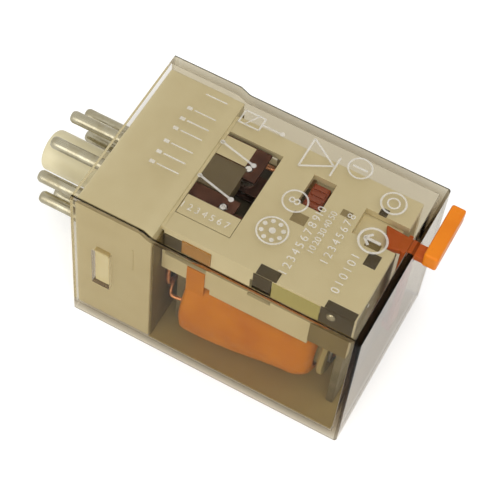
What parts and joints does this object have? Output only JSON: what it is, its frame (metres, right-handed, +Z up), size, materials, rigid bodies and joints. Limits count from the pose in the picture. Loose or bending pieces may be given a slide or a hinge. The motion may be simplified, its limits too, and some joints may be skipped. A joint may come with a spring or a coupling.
{
  "type": "plug-in relay",
  "caption": "Plug-in relay in a clear smoky cover, with a round pin plug, a taped coil, a rocking armature that moves changeover contacts, and a sliding orange test lever.",
  "frame": {"origin": "on the surface the relay lies on, under the middle of its box", "axes": "+X from the plug to the test lever along the plug axis, +Z up out of the print face"},
  "size_m": [0.075, 0.036, 0.0372],
  "materials": {
    "clear_cover": "clear smoky brown polycarbonate, glossy, with white print",
    "cream_moulding": "moulded, satin",
    "plated_pin": "tin plated, satin",
    "orange_tape": "wrapped insulating tape",
    "copper": "bare and enamelled copper",
    "steel": "plated soft iron",
    "spring_bronze": "rolled spring strip",
    "spring_steel": "bright wire",
    "silver": "silver alloy contact",
    "olive_moulding": "moulded, dark",
    "rust_flag": "moulded, rust red",
    "orange_lever": "moulded, satin orange"
  },
  "bodies": {
    "housing": {"cover": "clear_cover", "base": "cream_moulding", "contact_frame": "cream_moulding", "bobbin": "cream_moulding", "coil_winding": "copper", "coil_tape": "orange_tape", "core": "steel", "shading_ring": "copper", "yoke": "steel", "return_spring": "spring_steel", "pigtail_a": "copper", "pigtail_b": "copper", "coil_lead_start": "copper", "coil_lead_finish": "copper", "pin_1": "plated_pin", "pin_2": "plated_pin", "pin_3": "plated_pin", "pin_4": "plated_pin", "pin_5": "plated_pin", "pin_6": "plated_pin", "pin_7": "plated_pin", "pin_8": "plated_pin", "nc_strip_a": "spring_bronze", "no_strip_a": "spring_bronze", "nc_contact_a": "silver", "no_contact_a": "silver", "nc_strip_b": "spring_bronze", "no_strip_b": "spring_bronze", "nc_contact_b": "silver", "no_contact_b": "silver"},
    "armature": {"armature": "steel", "contact_carrier": "olive_moulding", "indicator_flag": "rust_flag", "moving_blade_a": "spring_bronze", "moving_blade_b": "spring_bronze", "moving_contact_a": "silver", "moving_contact_b": "silver"},
    "test_lever": {"test_lever": "orange_lever"}
  },
  "joints": [
    {"name": "armature_close", "type": "hinge", "parent": "housing", "child": "armature", "pos_m": [0.0279, 0, 0.02595], "axis": [0, 1, 0], "range_deg": [0, 4.16], "stiffness_Nm_per_rad": 0.06, "springref_deg": -17.19, "deforming": ["return_spring"]},
    {"name": "test_press", "type": "slide", "parent": "housing", "child": "test_lever", "axis": [-1, 0, 0], "range_m": [0, 0.0012]}
  ],
  "couplings": [
    {"joint": "test_press", "follows": "armature_close", "m_per_rad": 0.0165}
  ]
}
